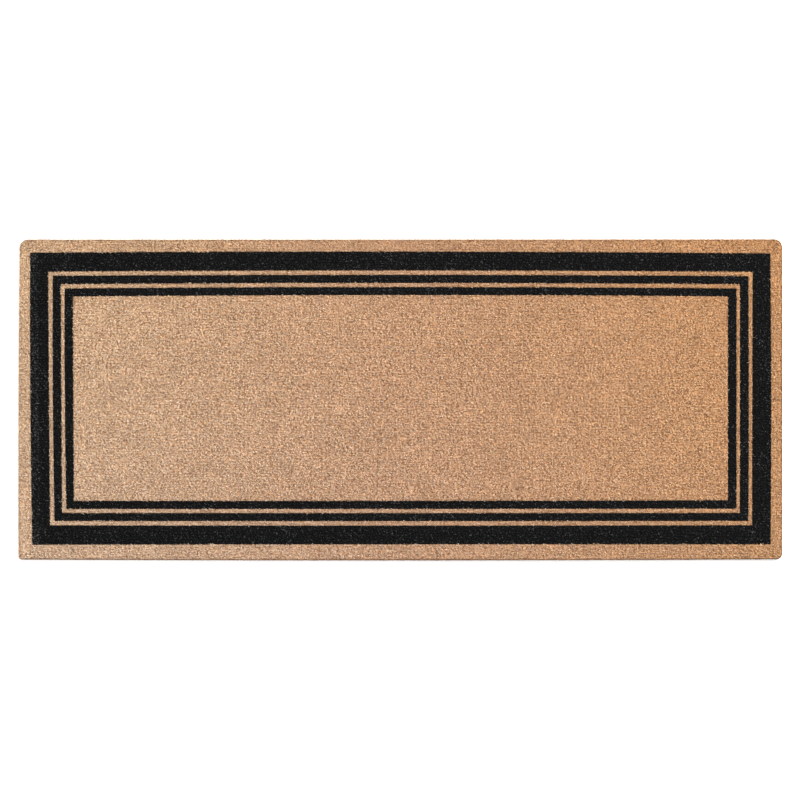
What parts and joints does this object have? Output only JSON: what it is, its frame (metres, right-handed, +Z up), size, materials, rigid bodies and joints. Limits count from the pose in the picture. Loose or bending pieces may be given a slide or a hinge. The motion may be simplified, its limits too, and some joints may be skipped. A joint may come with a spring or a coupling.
{
  "type": "door mat",
  "caption": "Large rectangular coir door mat with a vinyl backing: natural cut pile, with a wide black border band and two narrow ones inside it.",
  "frame": {"origin": "centre of the underside, on the surface that the mat lies on", "axes": "+X along the long side, +Y towards the back edge (the top of the picture), +Z up out of the pile"},
  "size_m": [1.4478, 0.6096, 0.015],
  "materials": {
    "coir_natural": "natural coir, cut pile, matte and fibrous",
    "coir_black": "coir dyed black, cut pile, matte with a faint sheen on single fibres",
    "backing_vinyl": "flexible vinyl, satin, finely grained underside"
  },
  "bodies": {
    "root": {"vinyl_backing": "backing_vinyl", "coir_pile_outer_margin": "coir_natural", "black_pile_outer_band": "coir_black", "coir_pile_outer_stripe": "coir_natural", "black_pile_middle_band": "coir_black", "coir_pile_inner_stripe": "coir_natural", "black_pile_inner_band": "coir_black", "coir_pile_centre_field": "coir_natural"}
  },
  "joints": []
}
